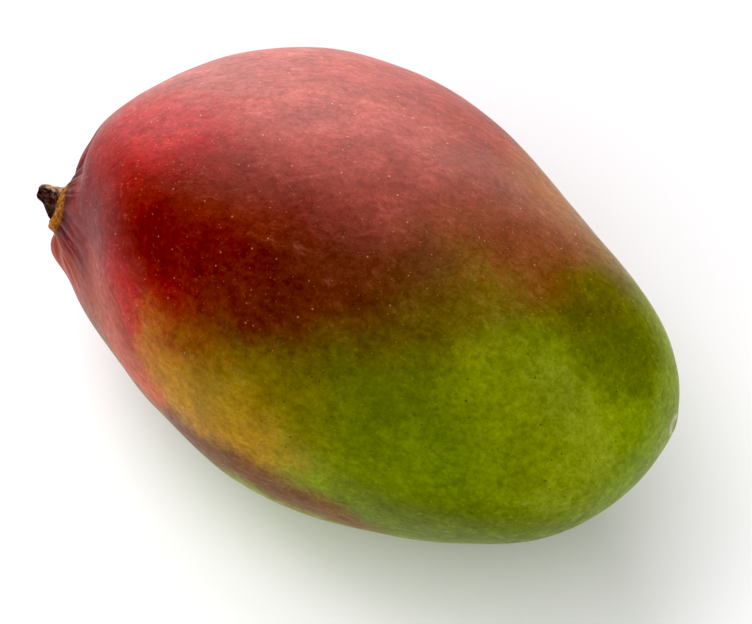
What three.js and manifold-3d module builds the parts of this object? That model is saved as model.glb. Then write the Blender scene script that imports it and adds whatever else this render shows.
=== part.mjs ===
// A ripe mango lying on one cheek, in two pieces: the fruit, grown in one, and the woody stub of its stalk.
// Sizes are in millimetres and angles in degrees. In the finished part +X runs from the stalk end to the tip,
// +Y is the belly side, +Z is up, and the fruit rests on a small flat spot at z = 0.

import * as THREE from 'three';
import { mergeVertices } from 'three/addons/utils/BufferGeometryUtils.js';
import Module from 'manifold-3d';

const wasm = await Module();
wasm.setup();

// The fruit's own frame: u runs along its length from the stalk end to the tip, v points to the belly and w
// from cheek to cheek, with the origin halfway along. A place on the skin is given as [share of the length
// from the stalk, degrees round from the belly].
const LENGTH = 128;

// Half-breadths to the belly, the back and a cheek. An ellipse of that reach is made fuller towards the
// stalk by lean, and at both of its ends by an end term that changes sign in the middle.
const BELLY = { reach: 50.5, lean: 0.38, end: 0 };
const BACK = { reach: 40.5, lean: -0.08, end: -0.43 };
const CHEEK = { reach: 38.5, lean: 0, end: 0.07 };

// The belly's outline draws in before the tip.
const SINUS = { at: 0.83, width: 0.2, depth: 9 };

// Where the stalk leaves the fruit, a little off the very end, and how far in from there it starts.
const STALK_ROOT = [0.0037, 177.5];
const STALK_SUNK = 1.54;

// Folds of the skin, each a soft band from one place to another. A negative height is a hollow.
const FOLDS = [
  { from: [0, 0], to: [0, 0], width: 4, height: -7.6 },                // pit round the stalk
  { from: [0.013, 208], to: [0.02, 232], width: 4.1, height: 2.05 },   // lobe under the stalk
  { from: [0.02, 90], to: [0.03, 120], width: 5.5, height: -2.9 },     // neck above the stalk
  { from: [0.2, 225], to: [0.28, 225], width: 18, height: -3 },        // flatter cheek behind the lobe
  { from: [0.015, 184], to: [0.05, 188], width: 2.5, height: 0.8 },    // pleat beside the lobe
  { from: [0.01, 196], to: [0.03, 200], width: 2.2, height: -1.2 },    // valley between pleat and lobe
  { from: [0.09, 140], to: [0.1, 160], width: 12, height: -2.2 },      // upper cheek's slope to the collar
  { from: [0.012, 105], to: [0.012, 130], width: 5.2, height: -0.9 },  // slope between neck and collar
  { from: [0.006, 210], to: [0.009, 222], width: 2.6, height: -1.5 },  // lower step of the collar
];

// The corky collar round the stalk: a warty ring of the skin.
const COLLAR = { radius: 4.2, width: 1.5, height: 1, warts: 0.12, wartCount: 7 };

// The scar at the tip: a shallow pit in a low rim.
const SCAR = { rimRadius: 1.9, rimWidth: 0.8, rimHeight: 0.15, pitRadius: 1.1, pitDepth: 0.5 };

// How the fruit lies: turned about its length, then tipped, until its cheek's lowest point is under the
// centre of mass. The skin is pressed flat there by this much.
const REST_ROLL = -9.27;
const REST_PITCH = -1.27;
const FLAT_DEPTH = 0.6;

// The stalk's stub: its radius at each distance out from its start, and its ragged section. The stub's
// axis leans from the fruit's length towards one cheek.
const STUB_PROFILE = [
  [-6.5, 3.6], [-3, 3.7], [-1, 3.65], [0, 3.5], [0.9, 3.15], [1.9, 2.65], [2.9, 2.2], [3.8, 1.8], [4.7, 1.45],
  [5.3, 1],
];
const STUB_LENGTH = 5.6;
const STUB_LEAN = 20;
const STUB_RIDGES = [{ count: 3, height: 0.08, turn: 35 }, { count: 7, height: 0.04, turn: 115 }];
const STUB_SIDES = 21;

// The gap that the stub keeps to the fruit.
const GAP = 0.3;

// The fruit's net: rings along the length, closer at both ends, and sides round it.
const RINGS = 66;
const SIDES = 54;
const CLOSER_AT_ENDS = 0.65;

const { cos, sin, exp, acos, atan2, PI } = Math;
const radians = THREE.MathUtils.degToRad;
const square = (x) => x * x;
const bump = (distance, width) => exp(-square(distance / width));

// A closed net from one pole to the other. place(i, j) gives the point of ring i at side j, and the sides
// turn anticlockwise as seen from outside the first pole.
function closedNet(rings, sides, place) {
  const points = [place(0, 0)];
  for (let i = 1; i < rings; i++) {
    for (let j = 0; j < sides; j++) points.push(place(i, j));
  }
  points.push(place(rings, 0));

  const last = points.length - 1;
  const at = (i, j) => 1 + (i - 1) * sides + (j % sides);
  const faces = [];
  for (let j = 0; j < sides; j++) {
    faces.push(0, at(1, j), at(1, j + 1));
    faces.push(last, at(rings - 1, j + 1), at(rings - 1, j));
    for (let i = 1; i < rings - 1; i++) {
      faces.push(at(i, j), at(i + 1, j), at(i + 1, j + 1));
      faces.push(at(i, j), at(i + 1, j + 1), at(i, j + 1));
    }
  }
  const geometry = new THREE.BufferGeometry().setFromPoints(points);
  geometry.setIndex(faces);
  return geometry;
}

// The skin without its folds. around is the angle along the length, from 0 at the stalk to PI at the tip.
function smoothSkin(around, turn) {
  const c = cos(around);
  const s = sin(around);
  const reach = (side) => side.reach * s * (1 + side.lean * c + side.end * c ** 3);
  const sinus = SINUS.depth * s * bump((1 - c) / 2 - SINUS.at, SINUS.width);
  const belly = reach(BELLY) - sinus;
  const back = reach(BACK);
  const middle = (belly + back) / 2;
  const skew = (belly - back) / 2;
  return new THREE.Vector3(
    (-LENGTH / 2) * c,
    cos(turn) * (middle + skew * cos(turn)),
    reach(CHEEK) * sin(turn),
  );
}

// The way out of the skin, from the ellipsoid of the same size.
function outward(around, turn) {
  const breadth = (BELLY.reach + BACK.reach) / 2;
  return new THREE.Vector3(
    -cos(around) / (LENGTH / 2),
    (sin(around) * cos(turn)) / breadth,
    (sin(around) * sin(turn)) / CHEEK.reach,
  ).normalize();
}

function placeOnSkin([share, degrees]) {
  return smoothSkin(acos(1 - 2 * share), radians(degrees));
}

const folds = FOLDS.map((fold) => ({
  ...fold,
  line: new THREE.Line3(placeOnSkin(fold.from), placeOnSkin(fold.to)),
}));
const stalkStart = placeOnSkin(STALK_ROOT).add(new THREE.Vector3(STALK_SUNK, 0, 0));
const tip = placeOnSkin([1, 0]);

function foldHeight(point) {
  const nearest = new THREE.Vector3();
  let height = 0;
  for (const fold of folds) {
    fold.line.closestPointToPoint(point, true, nearest);
    height += fold.height * bump(point.distanceTo(nearest), fold.width);
  }
  return height;
}

function collarHeight(point) {
  const turn = atan2(point.z - stalkStart.z, point.y - stalkStart.y);
  const warts = 1 + COLLAR.warts * cos(COLLAR.wartCount * turn + 1);
  return COLLAR.height * warts * bump(point.distanceTo(stalkStart) - COLLAR.radius, COLLAR.width);
}

function scarHeight(point) {
  const distance = point.distanceTo(tip);
  const rim = SCAR.rimHeight * bump(distance - SCAR.rimRadius, SCAR.rimWidth);
  return rim - SCAR.pitDepth * bump(distance, SCAR.pitRadius);
}

// The skin with its folds, collar and scar, and proud of it by extra.
function skin(around, turn, extra) {
  const point = smoothSkin(around, turn);
  const height = foldHeight(point) + collarHeight(point) + scarHeight(point) + extra;
  return point.addScaledVector(outward(around, turn), height);
}

function fruitNet(extra) {
  return closedNet(RINGS, SIDES, (i, j) => {
    const share = 1 - i / RINGS;
    const around = PI * (share - (CLOSER_AT_ENDS * sin(2 * PI * share)) / (2 * PI));
    return skin(around, (2 * PI * j) / SIDES, extra);
  });
}

// The stub stands at the stalk's start, along the fruit's length but leaning towards its upper cheek.
function stubNet() {
  const lean = radians(STUB_LEAN);
  const axis = new THREE.Vector3(-cos(lean), 0, sin(lean));
  const upright = new THREE.Quaternion().setFromUnitVectors(new THREE.Vector3(0, 0, 1), axis);
  const place = (x, y, z) => new THREE.Vector3(x, y, z).applyQuaternion(upright).add(stalkStart);
  const rings = STUB_PROFILE.length + 1;
  return closedNet(rings, STUB_SIDES, (i, j) => {
    if (i === 0) return place(0, 0, STUB_LENGTH);
    if (i === rings) return place(0, 0, STUB_PROFILE[0][0]);
    const [out, radius] = STUB_PROFILE[STUB_PROFILE.length - i];
    const turn = (2 * PI * j) / STUB_SIDES;
    let ragged = radius;
    for (const { count, height, turn: start } of STUB_RIDGES) {
      ragged += radius * height * cos(count * turn + radians(start));
    }
    return place(ragged * cos(turn), ragged * sin(turn), out);
  });
}

function toSolid(geometry) {
  const bare = geometry.clone();
  bare.deleteAttribute('normal');
  bare.deleteAttribute('uv');
  const merged = mergeVertices(bare);
  return new wasm.Manifold(new wasm.Mesh({
    numProp: 3,
    vertProperties: new Float32Array(merged.attributes.position.array),
    triVerts: new Uint32Array(merged.index.array),
  }));
}

function toGeometry(solid) {
  const mesh = solid.getMesh();
  const geometry = new THREE.BufferGeometry();
  geometry.setAttribute('position', new THREE.BufferAttribute(mesh.vertProperties, 3));
  geometry.setIndex(new THREE.BufferAttribute(mesh.triVerts, 1));
  geometry.computeVertexNormals();
  return geometry;
}

// Turns a net from the fruit's own frame to the way the fruit lies.
const lying = new THREE.Matrix4()
  .makeRotationY(radians(REST_PITCH))
  .multiply(new THREE.Matrix4().makeRotationX(radians(REST_ROLL)));

function flatSpotCutter(fruit) {
  fruit.computeBoundingBox();
  const block = new THREE.BoxGeometry(2 * LENGTH, 2 * LENGTH, LENGTH);
  return block.translate(0, 0, fruit.boundingBox.min.z + FLAT_DEPTH - LENGTH / 2);
}

function makeFruit() {
  const whole = fruitNet(0).applyMatrix4(lying);
  const solid = toSolid(whole).subtract(toSolid(flatSpotCutter(whole)));
  const rind = new THREE.MeshStandardMaterial({ color: 0x9a4a28, roughness: 0.42, metalness: 0 });
  const fruit = new THREE.Mesh(toGeometry(solid), rind);
  fruit.name = 'fruit';
  return fruit;
}

function makeStem() {
  const stub = stubNet().applyMatrix4(lying);
  const grownFruit = fruitNet(GAP).applyMatrix4(lying);
  const bark = new THREE.MeshStandardMaterial({ color: 0x4a3328, roughness: 0.9, metalness: 0 });
  const stem = new THREE.Mesh(toGeometry(toSolid(stub).subtract(toSolid(grownFruit))), bark);
  stem.name = 'stem';
  return stem;
}

const mango = new THREE.Group();
mango.add(makeFruit(), makeStem());

// The origin is under the middle of the part's box, on the surface it rests on.
const box = new THREE.Box3().setFromObject(mango);
mango.position.set(-(box.min.x + box.max.x) / 2, -(box.min.y + box.max.y) / 2, -box.min.z);
mango.updateMatrixWorld(true);

export default mango;
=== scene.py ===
"""A ripe mango lying on one cheek in a white studio.

It has two pieces: the fruit's skin with its corky collar, and the stalk's stub. The fruit's own frame has u
along its length from the stalk end to the tip, v towards the belly and w from cheek to cheek, in millimetres,
with its origin halfway along. Everything Blender holds is in metres, as packed.
"""
import math

import bpy
import numpy as np
from mathutils import Matrix, Vector, noise


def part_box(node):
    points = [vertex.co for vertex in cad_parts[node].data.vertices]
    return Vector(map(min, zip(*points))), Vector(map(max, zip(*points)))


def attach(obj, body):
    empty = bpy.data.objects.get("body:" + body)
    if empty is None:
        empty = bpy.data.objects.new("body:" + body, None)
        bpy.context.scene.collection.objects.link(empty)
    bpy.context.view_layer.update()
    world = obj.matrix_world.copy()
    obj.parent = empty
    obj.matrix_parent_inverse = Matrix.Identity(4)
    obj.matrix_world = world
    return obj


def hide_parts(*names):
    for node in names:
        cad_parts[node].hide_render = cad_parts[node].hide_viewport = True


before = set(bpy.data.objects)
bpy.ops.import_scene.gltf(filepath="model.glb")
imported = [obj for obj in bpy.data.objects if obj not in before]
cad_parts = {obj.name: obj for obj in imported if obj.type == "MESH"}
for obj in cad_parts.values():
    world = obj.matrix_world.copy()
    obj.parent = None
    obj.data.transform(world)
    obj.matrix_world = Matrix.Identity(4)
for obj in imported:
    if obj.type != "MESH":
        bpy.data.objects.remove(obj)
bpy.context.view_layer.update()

MM = 0.001

# The fruit's sizes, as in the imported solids. The breadths, the stalk's place, the pit, the lobe, the neck and
# the slope beside the neck come from least-squares fits to the photo's outline.
LENGTH = 128.0
BELLY = {"reach": 50.5, "lean": 0.38, "end": 0.0}
BACK = {"reach": 40.5, "lean": -0.08, "end": -0.43}
CHEEK = {"reach": 38.5, "lean": 0.0, "end": 0.07}
SINUS = {"at": 0.83, "width": 0.2, "depth": 9.0}
STALK_ROOT = (0.0037, 177.5)
STALK_SUNK = 1.54
FOLDS = [
    {"from": (0, 0), "to": (0, 0), "width": 4, "height": -7.6},
    {"from": (0.013, 208), "to": (0.02, 232), "width": 4.1, "height": 2.05},
    {"from": (0.02, 90), "to": (0.03, 120), "width": 5.5, "height": -2.9},
    {"from": (0.2, 225), "to": (0.28, 225), "width": 18, "height": -3},
    {"from": (0.015, 184), "to": (0.05, 188), "width": 2.5, "height": 0.8},
    {"from": (0.01, 196), "to": (0.03, 200), "width": 2.2, "height": -1.2},
    {"from": (0.09, 140), "to": (0.1, 160), "width": 12, "height": -2.2},
    {"from": (0.012, 105), "to": (0.012, 130), "width": 5.2, "height": -0.9},
    {"from": (0.006, 210), "to": (0.009, 222), "width": 2.6, "height": -1.5},
]
COLLAR = {"radius": 4.2, "width": 1.5, "height": 1.0, "warts": 0.12, "wart_count": 7}
SCAR = {"rim_radius": 1.9, "rim_width": 0.8, "rim_height": 0.15, "pit_radius": 1.1, "pit_depth": 0.5}
REST_ROLL = -9.27
REST_PITCH = -1.27
FLAT_DEPTH = 0.6
STUB_PROFILE = [
    (-6.5, 3.6), (-3, 3.7), (-1, 3.65), (0, 3.5), (0.9, 3.15),
    (1.9, 2.65), (2.9, 2.2), (3.8, 1.8), (4.7, 1.45), (5.3, 1.0),
]
STUB_LENGTH = 5.6
STUB_LEAN = 20
STUB_RIDGES = [(3, 0.08, 35), (7, 0.04, 115)]

# The fine nets.
FRUIT_RINGS = 300
FRUIT_SIDES = 320
CLOSER_AT_ENDS = 0.6
STUB_RINGS = 90
STUB_SIDES = 120

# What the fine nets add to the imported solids, in millimetres. It is all sunk a little, to stay in the packed
# box.
DENTS = {"size": 17, "height": 0.3, "small_size": 6, "small_height": 0.07, "fade": 12}
PLEATS = {"count": 34, "length": 14, "fine_count": 80, "fine_length": 8, "fine_share": 0.5, "height": 0.4}
PLEATS_FROM = 0.5
PLEATS_TO = 30
PLEATS_HIGHEST_AT = 10
PLEATS_WIDTH = 7
WARTS = {"size": 1.25, "grain_size": 0.55, "grain": 0.35, "height": 0.62, "spread": 1.1, "reach": 10}
FRUIT_SUNK = 0.18
BARK = {"round": 1.6, "long": 2.2, "height": 0.28, "fine": 2.9, "fine_height": 0.16}
BARK_FINEST = {"times": 7.3, "height": 0.09}
BARK_END = {"times": 1.7, "shift": 5, "height": 0.22}
STUB_SUNK = 0.06

# The camera looks down on the fruit with a long lens. The fruit's middle is a little left of and above the
# picture's middle.
PICTURE_WIDTH = 752
PICTURE_HEIGHT = 624
SENSOR_WIDTH = 36.0
CAMERA_AZIMUTH = 25.5
CAMERA_ELEVATION = 55.0
CAMERA_DISTANCE = 0.6
FOCAL_PIXELS = 3196
FRUIT_MIDDLE_PIXEL = (358.7, 305.85)

# What the picture shows as black, as the photo's own contrast does.
BLACK_LEVEL = 0.027

# The lamps, each with its way from the fruit, its distance, width and height in metres, and its watts.
# The first three light the mango alone and the last two the floor alone.
MANGO_LAMPS = [
    ("backdrop", (-0.42, 0.906, 0.22), 1.5, 2.4, 0.9, 28),
    ("overhead", (-0.3, 0.56, 0.77), 1.3, 1.4, 0.8, 8.6),
    ("side", (0.79, -0.02, 0.62), 1.0, 0.6, 0.6, 2.0),
]
FLOOR_LAMPS = [
    ("floor_front", (-0.1, -0.6, 0.8), 1.5, 2.6, 2.6, 33),
    ("floor_left", (-0.5, 0.3, 0.8), 2.6, 2.6, 2.6, 48),
]
WORLD_STRENGTH = 0.24
FLOOR_HALF_WIDTH = 4.0

# The blush fades from the sunny belly and stalk end towards the shaded back and tip, along this direction.
BLUSH_FADES_TOWARDS = (0.574, -0.433, -0.694)


def bump(distance, width):
    return np.exp(-((distance / width) ** 2))


def smooth_skin(around, turn):
    """The skin without its folds. around runs from 0 at the stalk to pi at the tip."""
    c = np.cos(around)
    s = np.sin(around)

    def reach(side):
        return side["reach"] * s * (1 + side["lean"] * c + side["end"] * c**3)

    sinus = SINUS["depth"] * s * bump((1 - c) / 2 - SINUS["at"], SINUS["width"])
    belly = reach(BELLY) - sinus
    back = reach(BACK)
    across = np.cos(turn) * ((belly + back) / 2 + (belly - back) / 2 * np.cos(turn))
    return np.stack([-LENGTH / 2 * c, across, reach(CHEEK) * np.sin(turn)], -1)


def outward(around, turn):
    breadth = (BELLY["reach"] + BACK["reach"]) / 2
    way = np.stack([
        -np.cos(around) / (LENGTH / 2),
        np.sin(around) * np.cos(turn) / breadth,
        np.sin(around) * np.sin(turn) / CHEEK["reach"],
    ], -1)
    return way / np.linalg.norm(way, axis=-1, keepdims=True)


def place_on_skin(share, degrees):
    around = math.acos(1 - 2 * share)
    return smooth_skin(np.array(around), np.array(math.radians(degrees)))


STALK_START = place_on_skin(*STALK_ROOT) + np.array([STALK_SUNK, 0, 0])
TIP = place_on_skin(1, 0)


def distance_to_line(points, start, end):
    run = end - start
    squared = float(run @ run)
    if squared == 0:
        return np.linalg.norm(points - start, axis=-1)
    share = np.clip((points - start) @ run / squared, 0, 1)
    return np.linalg.norm(points - start - share[..., None] * run, axis=-1)


def fold_height(points):
    height = np.zeros(len(points))
    for fold in FOLDS:
        distance = distance_to_line(points, place_on_skin(*fold["from"]), place_on_skin(*fold["to"]))
        height += fold["height"] * bump(distance, fold["width"])
    return height


def collar_height(distance, turn):
    warts = 1 + COLLAR["warts"] * np.cos(COLLAR["wart_count"] * turn + 1)
    return COLLAR["height"] * warts * bump(distance - COLLAR["radius"], COLLAR["width"])


def scar_height(points):
    distance = np.linalg.norm(points - TIP, axis=-1)
    rim = SCAR["rim_height"] * bump(distance - SCAR["rim_radius"], SCAR["rim_width"])
    return rim - SCAR["pit_depth"] * bump(distance, SCAR["pit_radius"])


def smooth_noise(points):
    """Blender's gradient noise, from about -1 to 1, with features about one unit apart."""
    return np.array([noise.noise(Vector(point)) for point in points])


def nearest_cell(points):
    """The distance to the nearest of the scattered cell centres, about one unit apart."""
    return np.array([noise.voronoi(Vector(point))[0][0] for point in points])


def stalk_place(points):
    """How far each point is from the stalk's start, and the way round it."""
    away = points - STALK_START
    return np.linalg.norm(away, axis=-1), np.arctan2(away[:, 2], away[:, 1])


def round_stalk(turn, distance, count, stretch):
    """Coordinates in which noise makes about count lines out from the stalk, each stretch long."""
    size = count / (2 * math.pi)
    return np.stack([size * np.cos(turn), size * np.sin(turn), distance / stretch], -1)


def fine_relief(points, distance, turn):
    """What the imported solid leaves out: soft dents, pleats round the stalk and the collar's warts."""
    dents = DENTS["height"] * smooth_noise(points / DENTS["size"])
    dents += DENTS["small_height"] * smooth_noise(points / DENTS["small_size"])
    relief = (dents - FRUIT_SUNK) * (1 - bump(distance, DENTS["fade"]))

    near = (distance < PLEATS_TO) & (distance > PLEATS_FROM)
    pleats = smooth_noise(round_stalk(turn[near], distance[near], PLEATS["count"], PLEATS["length"]))
    fine = smooth_noise(round_stalk(turn[near], distance[near], PLEATS["fine_count"], PLEATS["fine_length"]))
    pleats += PLEATS["fine_share"] * fine
    relief[near] += PLEATS["height"] * pleats * bump(distance[near] - PLEATS_HIGHEST_AT, PLEATS_WIDTH)

    cork = distance < WARTS["reach"]
    warts = 0.5 - nearest_cell(points[cork] / WARTS["size"])
    warts += WARTS["grain"] * smooth_noise(points[cork] / WARTS["grain_size"])
    ring = bump(distance[cork] - COLLAR["radius"], COLLAR["width"] * WARTS["spread"])
    relief[cork] += WARTS["height"] * warts * ring
    return relief


def net_faces(rings, sides):
    """Faces of a closed net: one pole, rings - 1 rings of sides points, and the other pole."""
    last = 1 + (rings - 1) * sides

    def at(ring, side):
        return 1 + (ring - 1) * sides + side % sides

    faces = []
    for side in range(sides):
        faces.append((0, at(1, side), at(1, side + 1)))
        faces.append((last, at(rings - 1, side + 1), at(rings - 1, side)))
    for ring in range(1, rings - 1):
        for side in range(sides):
            faces.append((at(ring, side), at(ring + 1, side), at(ring + 1, side + 1), at(ring, side + 1)))
    return faces


def net_grid(rings, sides):
    """Share of the way from the first pole and turn for each point of a closed net."""
    ring, side = np.meshgrid(np.arange(1, rings), np.arange(sides), indexing="ij")
    share = np.concatenate([[0.0], ring.ravel() / rings, [1.0]])
    turn = np.concatenate([[0.0], side.ravel() * 2 * math.pi / sides, [0.0]])
    return share, turn


def lying_matrix():
    pitch = Matrix.Rotation(math.radians(REST_PITCH), 3, "Y")
    roll = Matrix.Rotation(math.radians(REST_ROLL), 3, "X")
    return pitch @ roll


LYING = np.array(lying_matrix())


def make_piece(name, points, faces, attributes):
    """A smooth mesh of points in metres, with named vectors kept at its points."""
    mesh = bpy.data.meshes.new(name)
    mesh.from_pydata([tuple(point) for point in points], [], faces)
    mesh.validate()
    mesh.shade_smooth()
    for key, values in attributes.items():
        layer = mesh.attributes.new(key, "FLOAT_VECTOR", "POINT")
        layer.data.foreach_set("vector", np.asarray(values, np.float32).ravel())
    piece = bpy.data.objects.new(name, mesh)
    bpy.context.scene.collection.objects.link(piece)
    return piece


def make_fruit():
    """The fruit, and where its own frame's origin comes to lie, in metres."""
    share, turn = net_grid(FRUIT_RINGS, FRUIT_SIDES)
    along = 1 - share
    around = math.pi * (along - CLOSER_AT_ENDS * np.sin(2 * math.pi * along) / (2 * math.pi))
    bare = smooth_skin(around, turn)
    distance, stalk_turn = stalk_place(bare)
    height = fold_height(bare) + collar_height(distance, stalk_turn) + scar_height(bare)
    height += fine_relief(bare, distance, stalk_turn)
    skin = bare + height[:, None] * outward(around, turn)

    lying = skin @ LYING.T
    low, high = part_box("fruit")
    middle = (lying.min(0) + lying.max(0)) / 2
    origin = np.array([
        (low.x + high.x) / 2 - middle[0] * MM,
        (low.y + high.y) / 2 - middle[1] * MM,
        -(lying[:, 2].min() + FLAT_DEPTH) * MM,
    ])
    points = lying * MM + origin
    points[:, 2] = np.maximum(points[:, 2], 0)

    stalk = np.stack([np.cos(stalk_turn), np.sin(stalk_turn), distance], -1)
    faces = net_faces(FRUIT_RINGS, FRUIT_SIDES)
    fruit = make_piece("mango_fruit", points, faces, {"place": bare, "stalk": stalk})
    return fruit, origin


def make_stub(origin):
    share, turn = net_grid(STUB_RINGS, STUB_SIDES)
    outs = [STUB_LENGTH] + [out for out, _ in reversed(STUB_PROFILE)]
    radii = [0.0] + [radius for _, radius in reversed(STUB_PROFILE)]
    steps = np.linspace(0, 1, len(outs))
    out = np.interp(share, steps, outs)
    radius = np.interp(share, steps, radii)
    ragged = np.ones(len(turn))
    for count, height, start in STUB_RIDGES:
        ragged += height * np.cos(count * turn + math.radians(start))
    bark = np.stack([BARK["round"] * np.cos(turn), BARK["round"] * np.sin(turn), out / BARK["long"]], -1)
    radius = radius * ragged
    grain = BARK["height"] * smooth_noise(bark) + BARK["fine_height"] * smooth_noise(bark * BARK["fine"])
    radius += np.minimum(1, radius) * grain
    finest = smooth_noise(bark * BARK_FINEST["times"])
    radius += np.minimum(1, radius) * BARK_FINEST["height"] * finest
    radius[[0, -1]] = 0
    uneven = smooth_noise(bark * BARK_END["times"] + BARK_END["shift"])
    out = out + BARK_END["height"] * uneven - STUB_SUNK

    lean = math.radians(STUB_LEAN)
    axis = np.array([-math.cos(lean), 0, math.sin(lean)])
    rise = np.array([math.sin(lean), 0, math.cos(lean)])
    side = np.array([0.0, 1.0, 0.0])
    shape = (radius * np.cos(turn))[:, None] * rise + (radius * np.sin(turn))[:, None] * side
    shape = shape + out[:, None] * axis + STALK_START
    points = shape @ LYING.T * MM + origin
    own = np.stack([np.cos(turn), np.sin(turn), out], -1)
    faces = net_faces(STUB_RINGS, STUB_SIDES)
    return make_piece("mango_stem", points, faces, {"place": shape, "bark": own})


def srgb(code):
    """A colour from six hex digits, as Blender's linear values."""
    parts = [int(code[i:i + 2], 16) / 255 for i in (0, 2, 4)]
    return tuple(p / 12.92 if p <= 0.04045 else ((p + 0.055) / 1.055) ** 2.4 for p in parts) + (1.0,)


class Shader:
    """Builds a material's nodes. Each call takes sockets or values and returns a socket."""

    def __init__(self, name):
        self.material = bpy.data.materials.new(name)
        self.material.use_nodes = True
        self.tree = self.material.node_tree
        self.tree.nodes.clear()

    def node(self, kind, inputs, **settings):
        node = self.tree.nodes.new(kind)
        for key, value in settings.items():
            setattr(node, key, value)
        for key, value in inputs.items():
            if isinstance(value, bpy.types.NodeSocket):
                self.tree.links.new(value, node.inputs[key])
            else:
                node.inputs[key].default_value = value
        return node

    def math(self, operation, a, b=0.0):
        return self.node("ShaderNodeMath", {0: a, 1: b}, operation=operation).outputs[0]

    def vector(self, operation, a, b=(0, 0, 0), scale=1.0):
        node = self.node("ShaderNodeVectorMath", {0: a, 1: b, 3: scale}, operation=operation)
        return node.outputs["Value" if operation in ("DOT_PRODUCT", "DISTANCE", "LENGTH") else "Vector"]

    def attribute(self, name):
        return self.node("ShaderNodeAttribute", {}, attribute_name=name).outputs["Vector"]

    def part(self, vector, axis):
        return self.node("ShaderNodeSeparateXYZ", {0: vector}).outputs[axis]

    def noise(self, place, size, detail=2.0, roughness=0.5, colour=False):
        inputs = {"Vector": place, "Scale": 1 / size, "Detail": detail, "Roughness": roughness}
        return self.node("ShaderNodeTexNoise", inputs).outputs[1 if colour else 0]

    def cells(self, place, size):
        """Distance to the nearest cell centre, in sizes, and a random colour for that cell."""
        node = self.node("ShaderNodeTexVoronoi", {"Vector": place, "Scale": 1 / size})
        return node.outputs["Distance"], node.outputs["Color"]

    def step(self, value, low, high, start=0.0, end=1.0):
        """Goes smoothly from start, where value is low, to end, where it is high."""
        inputs = {"Value": value, "From Min": low, "From Max": high, "To Min": start, "To Max": end}
        node = self.node("ShaderNodeMapRange", inputs, interpolation_type="SMOOTHSTEP")
        return node.outputs[0]

    def mix(self, factor, a, b, blend="MIX"):
        node = self.node("ShaderNodeMix", {0: factor, 6: a, 7: b}, data_type="RGBA", blend_type=blend)
        return node.outputs[2]

    def ramp(self, value, stops):
        node = self.node("ShaderNodeValToRGB", {0: value})
        elements = node.color_ramp.elements
        while len(elements) < len(stops):
            elements.new(0.5)
        for element, (position, colour) in zip(elements, stops):
            element.position = position
            element.color = srgb(colour)
        return node.outputs[0]

    def finish(self, shader_inputs, height):
        bump_node = self.node("ShaderNodeBump", {"Height": height, "Distance": MM})
        shader = self.node("ShaderNodeBsdfPrincipled", dict(shader_inputs, Normal=bump_node.outputs[0]))
        self.node("ShaderNodeOutputMaterial", {"Surface": shader.outputs[0]})
        return self.material


# The skin's colour against the blush's fading, in millimetres from the middle of the fruit. These colours and
# those of the bands were worked out by a least-squares fit to the photo. Five of them were changed afterwards.
BLUSH_FROM = -60
BLUSH_TO = 60
BLUSH_STOPS = [
    (-52, "bb675f"), (-42, "b5544a"), (-33, "a33e30"), (-22, "8f2c07"), (-13, "985620"), (-7, "90622c"),
    (-1, "8a7830"), (6, "867c34"), (16, "828d07"), (30, "8ba007"), (42, "7d9307"),
]

# Bands of colour on the skin: from where to where, how wide, how soft the edge, the colour and its strength.
# The places were set one by one.
BANDS = [
    {"from": (0.14, 98), "to": (0.24, 98), "radius": 5, "soft": 16, "colour": "bf0707", "strength": 0.8},
    {"from": (0.12, 150), "to": (0.22, 146), "radius": 5, "soft": 14, "colour": "9b0707", "strength": 0.8},
    {"from": (0.24, 160), "to": (0.33, 156), "radius": 4, "soft": 11, "colour": "d81a07", "strength": 0.8},
    {"from": (0.33, 174), "to": (0.46, 177), "radius": 4, "soft": 11, "colour": "d89807", "strength": 0.85},
    {"from": (0.42, 160), "to": (0.52, 166), "radius": 4, "soft": 12, "colour": "a9912d", "strength": 0.6},
    {"from": (0.15, 180), "to": (0.26, 187), "radius": 4, "soft": 10, "colour": "d84c20", "strength": 0.8},
    {"from": (0.36, 197), "to": (0.6, 203), "radius": 3, "soft": 8, "colour": "7c1507", "strength": 0.8},
    {"from": (0.33, 128), "to": (0.48, 122), "radius": 7, "soft": 18, "colour": "8a382c", "strength": 0.75},
    {"from": (0.5, 125), "to": (0.6, 118), "radius": 5, "soft": 14, "colour": "73453b", "strength": 0.6},
    {"from": (0.66, 85), "to": (0.82, 88), "radius": 5, "soft": 14, "colour": "8d412e", "strength": 0.75},
    # Partly painted highlight: a paler green patch where the side lamp's soft highlight falls on the tip, over
    # the tip's own green.
    {"from": (0.84, 135), "to": (0.89, 146), "radius": 6, "soft": 14, "colour": "a0ab38", "strength": 0.75},
    {"from": (0.88, 95), "to": (0.93, 100), "radius": 4, "soft": 12, "colour": "64690d", "strength": 0.75},
    {"from": (0.7, 190), "to": (0.86, 195), "radius": 5, "soft": 12, "colour": "5e6807", "strength": 0.7},
    {"from": (0.07, 128), "to": (0.1, 135), "radius": 3, "soft": 8, "colour": "930707", "strength": 0.75},
    {"from": (0.4, 80), "to": (0.52, 90), "radius": 6, "soft": 16, "colour": "b6554b", "strength": 0.6},
]


# Noise that shifts where the skin's colours fall: its size, detail and roughness, and how far it shifts them.
COLOUR_SHIFTS = [(26, 2, 0.5, 16), (5, 3, 0.6, 6), (1.5, 3, 0.7, 9)]
STREAK_SHIFT = (9, 2, 0.5, 9)
NOISE_MIDDLE = (0.5, 0.5, 0.5)
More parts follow.
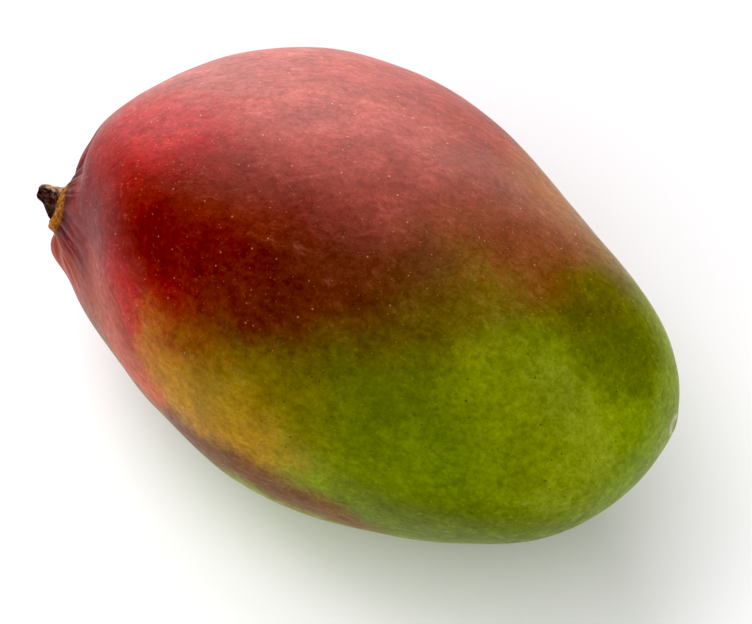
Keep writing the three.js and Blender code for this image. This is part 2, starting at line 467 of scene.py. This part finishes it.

# Colours of the small markings, with the painted shade of the hollow round the collar and the painted
# highlights on the pleats.
COLOURS = {
    "worn_blush": "d07868", "worn_green": "a8a850", "pale_dot": "e09c68", "dark_dot": "4c560c",
    "blush_speck": "c87850", "green_speck": "b8b848", "shoulder": "8a0a0c", "hollow_shade": "48100a",
    "lobe": "c85840", "pleat_highlights": "d88880", "scar_rim": "ccc8a0", "scar_pit": "140e0a", "bark_speck": "b09a88",
}
CORK_SHADES = [(0.34, "441a0c"), (0.43, "a45418"), (0.54, "d08428"), (0.7, "e8ac58")]
# The bark's shades, and lighter ones painted on its upper side as if lit from above.
BARK_SHADES = [(0.3, "3c2c2c"), (0.46, "544240"), (0.6, "705850"), (0.75, "947a6c")]
LIT_BARK_SHADES = [(0.3, "6a4834"), (0.5, "b08a6c"), (0.7, "d8b89c")]

# Millimetres: how far apart the dots and specks are, and where the scar lies from the tip.
DOT_SPACING = 1.8
SPECK_SPACING = 1.05
SCAR_FROM_TIP = (-0.2, -0.6, 0.7)

# Millimetres from the stalk over which each marking of the stalk end fades out, the painted shade of the hollow
# and the painted highlights on the pleats among them.
SHOULDER_FADES = (14, 30)
HOLLOW_SHADE_FADES = (7, 11)
LOBE_FADES = (16, 26)
PLEAT_HIGHLIGHTS_FADE = (9, 28)
CORK_ENDS = (5.7, 6.9)


def tone(name):
    return srgb(COLOURS[name])


def shifted(s, point, place, size, detail, roughness, shift):
    """The point moved by noise that is read at place."""
    cloud = s.vector("SUBTRACT", s.noise(place, size, detail, roughness, colour=True), NOISE_MIDDLE)
    return s.vector("ADD", point, s.vector("SCALE", cloud, scale=shift))


def vector_from(point):
    return tuple(float(part) for part in point)


def distance_to_band(s, place, start, end):
    """The shader's distance to the line between two points of the skin."""
    run = end - start
    away = s.vector("SUBTRACT", place, vector_from(start))
    share = s.vector("DOT_PRODUCT", away, vector_from(run / float(run @ run)))
    share = s.math("MINIMUM", s.math("MAXIMUM", share, 0), 1)
    nearest = s.vector("SCALE", vector_from(run), scale=share)
    return s.vector("DISTANCE", away, nearest)


def skin_colour(s, place):
    warped = place
    for colour_shift in COLOUR_SHIFTS:
        warped = shifted(s, warped, place, *colour_shift)
    blush = s.vector("DOT_PRODUCT", warped, BLUSH_FADES_TOWARDS)
    span = BLUSH_TO - BLUSH_FROM
    share = s.math("DIVIDE", s.math("SUBTRACT", blush, BLUSH_FROM), span)
    colour = s.ramp(share, [((at - BLUSH_FROM) / span, code) for at, code in BLUSH_STOPS])
    for band in BANDS:
        away = distance_to_band(s, warped, place_on_skin(*band["from"]), place_on_skin(*band["to"]))
        amount = s.step(away, band["radius"], band["radius"] + band["soft"], band["strength"], 0)
        colour = s.mix(amount, colour, srgb(band["colour"]))
    return colour, blush


def tint(s, colour, amount):
    """The colour made darker or lighter, by an amount about 1."""
    return s.vector("SCALE", colour, scale=amount)


def mottled(s, colour, place, green):
    """Clouds, streaks along the fruit and fine flecks, all darker and lighter than the skin about them."""
    bent = shifted(s, place, place, *STREAK_SHIFT)
    along = s.vector("MULTIPLY", bent, (0.35, 1, 1))
    clouds = s.noise(place, 9, 5, 0.65)
    streaks = s.noise(along, 1.5, 5, 0.75)
    flecks = s.noise(place, 1.4, 5, 0.85)
    colour = tint(s, colour, s.step(clouds, 0.3, 0.7, 0.84, 1.16))
    colour = tint(s, colour, s.step(streaks, 0.25, 0.75, 0.86, 1.14))
    colour = tint(s, colour, s.step(flecks, 0.3, 0.7, 0.78, 1.22))
    pale = s.mix(green, tone("worn_blush"), tone("worn_green"))
    worn = s.math("MULTIPLY", s.step(streaks, 0.55, 0.72, 0, 0.4), s.step(clouds, 0.45, 0.65, 0.15, 1))
    return s.mix(worn, colour, pale), streaks, flecks


def dotted(s, colour, place, green):
    """Lenticels: small pale dots on the blush, dark ones on the green, and specks between them."""
    gap, random = s.cells(place, DOT_SPACING)
    small = s.math("MULTIPLY", s.part(random, 0), 0.05)
    dot = s.step(s.math("SUBTRACT", gap, small), 0.02, 0.09, 1, 0)
    dot = s.math("MULTIPLY", dot, s.step(s.part(random, 1), 0.25, 0.55, 0.15, 0.9))
    colour = s.mix(dot, colour, s.mix(green, tone("pale_dot"), tone("dark_dot")))
    gap, random = s.cells(place, SPECK_SPACING)
    speck = s.step(gap, 0.09, 0.2, 1, 0)
    speck = s.math("MULTIPLY", speck, s.step(s.part(random, 2), 0.4, 0.7, 0, 0.55))
    return s.mix(speck, colour, s.mix(green, tone("blush_speck"), tone("green_speck"))), dot


def stalk_end(s, colour, place, stalk):
    """The red shoulder, painted shade in the dip round the collar, pale painted highlights on the pleats
    running out from it, and the collar's cork.
    """
    distance = s.part(stalk, 2)
    shoulder = s.step(distance, *SHOULDER_FADES, 0.8, 0)
    colour = s.mix(shoulder, colour, tone("shoulder"))
    ragged = s.noise(s.vector("MULTIPLY", stalk, (9, 9, 0.4)), 1, 3, 0.6)
    edge = s.math("ADD", distance, s.math("MULTIPLY", s.math("SUBTRACT", ragged, 0.5), 7))
    # Painted shade: the skin is darkened, with a ragged edge, in the hollow round the collar.
    colour = s.mix(s.step(edge, *HOLLOW_SHADE_FADES, 0.8, 0), colour, tone("hollow_shade"))
    lower = s.step(s.vector("DOT_PRODUCT", stalk, (-0.72, -0.69, 0)), 0.75, 0.97)
    lobe = s.math("MULTIPLY", lower, s.step(distance, *LOBE_FADES, 0.85, 0))
    colour = s.mix(lobe, colour, tone("lobe"))
    # Painted highlights: pale pink lines along the pleats that run out from the collar, in scattered patches,
    # where the lamps would catch the pleats' ridges.
    lines = s.noise(s.vector("MULTIPLY", stalk, (26, 26, 0.2)), 1, 3, 0.65)
    highlight_patches = s.noise(s.vector("MULTIPLY", stalk, (2.2, 2.2, 0.05)), 1, 1, 0.5)
    reach = s.math("MULTIPLY", s.step(distance, *PLEAT_HIGHLIGHTS_FADE, 1, 0), s.step(highlight_patches, 0.45, 0.62, 0.05, 1))
    reach = s.math("MULTIPLY", reach, s.step(distance, 4.5, 8, 0.2, 1))
    pleat_highlights = s.math("MULTIPLY", s.step(lines, 0.52, 0.68, 0, 0.6), reach)
    colour = s.mix(pleat_highlights, colour, tone("pleat_highlights"))
    grain = s.noise(place, 0.7, 4, 0.75)
    edge = s.math("ADD", distance, s.math("MULTIPLY", s.math("SUBTRACT", grain, 0.5), 2.2))
    cork = s.step(edge, *CORK_ENDS, 1, 0)
    return s.mix(cork, colour, s.ramp(grain, CORK_SHADES))


def tip_end(s, colour, place):
    """The scar at the tip: a pale rim round a dark pit, a little towards the upper cheek."""
    gap = s.vector("DISTANCE", place, vector_from(TIP + np.array(SCAR_FROM_TIP)))
    colour = s.mix(s.step(gap, 1.5, 2.6, 0.8, 0), colour, tone("scar_rim"))
    return s.mix(s.step(gap, 0.8, 1.25, 0.97, 0), colour, tone("scar_pit"))


def skin_material():
    s = Shader("mango_skin")
    place = s.attribute("place")
    stalk = s.attribute("stalk")
    colour, blush = skin_colour(s, place)
    green = s.step(blush, -2, 8)
    colour, streaks, flecks = mottled(s, colour, place, green)
    colour, dot = dotted(s, colour, place, green)
    colour = stalk_end(s, colour, place, stalk)
    colour = tip_end(s, colour, place)
    height = s.math("MULTIPLY", streaks, 0.07)
    height = s.math("ADD", height, s.math("MULTIPLY", flecks, 0.05))
    height = s.math("ADD", height, s.math("MULTIPLY", dot, 0.02))
    return s.finish({
        "Base Color": colour,
        "Roughness": s.step(streaks, 0.25, 0.75, 0.5, 0.34),
        "Specular IOR Level": 0.18,
    }, height)


def bark_material():
    s = Shader("mango_bark")
    place = s.attribute("place")
    bark = s.attribute("bark")
    grain = s.noise(s.vector("MULTIPLY", bark, (2.2, 2.2, 0.7)), 1, 5, 0.65)
    specks = s.noise(place, 0.5, 3, 0.6)
    colour = s.ramp(grain, BARK_SHADES)
    # Painted light and shade: the stub's upper side takes the lighter tan shades and the rest the darker ones,
    # as lit and shaded copies of the bark.
    lit_side = s.vector("DOT_PRODUCT", bark, (0.73, 0.68, 0))
    patchy = s.math("MULTIPLY", s.math("SUBTRACT", grain, 0.5), 2.2)
    light = s.step(s.math("ADD", lit_side, patchy), 0.35, 0.8)
    painted_lit_tan = s.ramp(grain, LIT_BARK_SHADES)
    colour = s.mix(light, colour, painted_lit_tan)
    colour = s.mix(s.step(specks, 0.62, 0.72, 0, 0.5), colour, tone("bark_speck"))
    height = s.math("ADD", s.math("MULTIPLY", grain, 0.25), s.math("MULTIPLY", specks, 0.12))
    return s.finish({"Base Color": colour, "Roughness": 0.85, "Specular IOR Level": 0.25}, height)


def floor_material():
    s = Shader("studio_floor")
    place = s.node("ShaderNodeTexCoord", {}).outputs["Object"]
    height = s.math("MULTIPLY", s.noise(place, 0.02), 0.05)
    return s.finish({"Base Color": (0.93, 0.92, 0.94, 1), "Roughness": 0.7}, height)


def view_axes():
    azimuth = math.radians(CAMERA_AZIMUTH)
    elevation = math.radians(CAMERA_ELEVATION)
    back = Vector((
        math.sin(azimuth) * math.cos(elevation),
        -math.cos(azimuth) * math.cos(elevation),
        math.sin(elevation),
    ))
    right = Vector((math.cos(azimuth), math.sin(azimuth), 0))
    return right, back.cross(right), back


def make_camera(origin):
    right, up, back = view_axes()
    camera = bpy.data.cameras.new("camera")
    camera.sensor_width = SENSOR_WIDTH
    camera.lens = FOCAL_PIXELS * SENSOR_WIDTH / PICTURE_WIDTH
    holder = bpy.data.objects.new("camera", camera)
    bpy.context.scene.collection.objects.link(holder)
    per_pixel = CAMERA_DISTANCE / FOCAL_PIXELS
    aside = (PICTURE_WIDTH / 2 - FRUIT_MIDDLE_PIXEL[0]) * per_pixel
    below = (PICTURE_HEIGHT / 2 - FRUIT_MIDDLE_PIXEL[1]) * per_pixel
    place = Vector(origin) + back * CAMERA_DISTANCE + right * aside - up * below
    turn = Matrix((right, up, back)).transposed().to_4x4()
    holder.matrix_world = Matrix.Translation(place) @ turn
    bpy.context.scene.camera = holder


def make_floor():
    half = FLOOR_HALF_WIDTH
    corners = [(-half, -half, 0), (half, -half, 0), (half, half, 0), (-half, half, 0)]
    mesh = bpy.data.meshes.new("studio_floor")
    mesh.from_pydata(corners, [], [(0, 1, 2, 3)])
    floor = bpy.data.objects.new("studio_floor", mesh)
    floor.data.materials.append(floor_material())
    bpy.context.scene.collection.objects.link(floor)
    return floor


def make_softbox(name, direction, distance, width, height, watts, target, lit_objects):
    """A lamp with a rectangular face, aimed at the target, that lights only the given objects."""
    lamp = bpy.data.lights.new(name, "AREA")
    lamp.shape = "RECTANGLE"
    lamp.size = width
    lamp.size_y = height
    lamp.energy = watts
    holder = bpy.data.objects.new(name, lamp)
    bpy.context.scene.collection.objects.link(holder)
    away = Vector(direction).normalized()
    place = Vector(target) + away * distance
    holder.matrix_world = Matrix.Translation(place) @ away.to_track_quat("Z", "Y").to_matrix().to_4x4()
    lit = bpy.data.collections.new(name + "_lights")
    for lit_object in lit_objects:
        lit.objects.link(lit_object)
    holder.light_linking.receiver_collection = lit


def make_lights(origin, mango, floor):
    world = bpy.data.worlds.new("studio")
    world.use_nodes = True
    background = world.node_tree.nodes["Background"]
    background.inputs["Color"].default_value = (1, 1, 1, 1)
    background.inputs["Strength"].default_value = WORLD_STRENGTH
    bpy.context.scene.world = world
    for lamps, lit_objects in ((MANGO_LAMPS, mango), (FLOOR_LAMPS, floor)):
        for name, way, distance, width, height, watts in lamps:
            make_softbox(name, way, distance, width, height, watts, origin, lit_objects)
    view = bpy.context.scene.view_settings
    view.view_transform = "Standard"
    view.use_curve_mapping = True
    view.curve_mapping.black_level = (BLACK_LEVEL,) * 3
    view.curve_mapping.update()


fruit, fruit_origin = make_fruit()
stub = make_stub(fruit_origin)
make_camera(fruit_origin)
make_lights(fruit_origin, [fruit, stub], [make_floor()])

fruit.data.materials.append(skin_material())
stub.data.materials.append(bark_material())
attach(fruit, "root")
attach(stub, "root")
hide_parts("fruit")
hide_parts("stem")
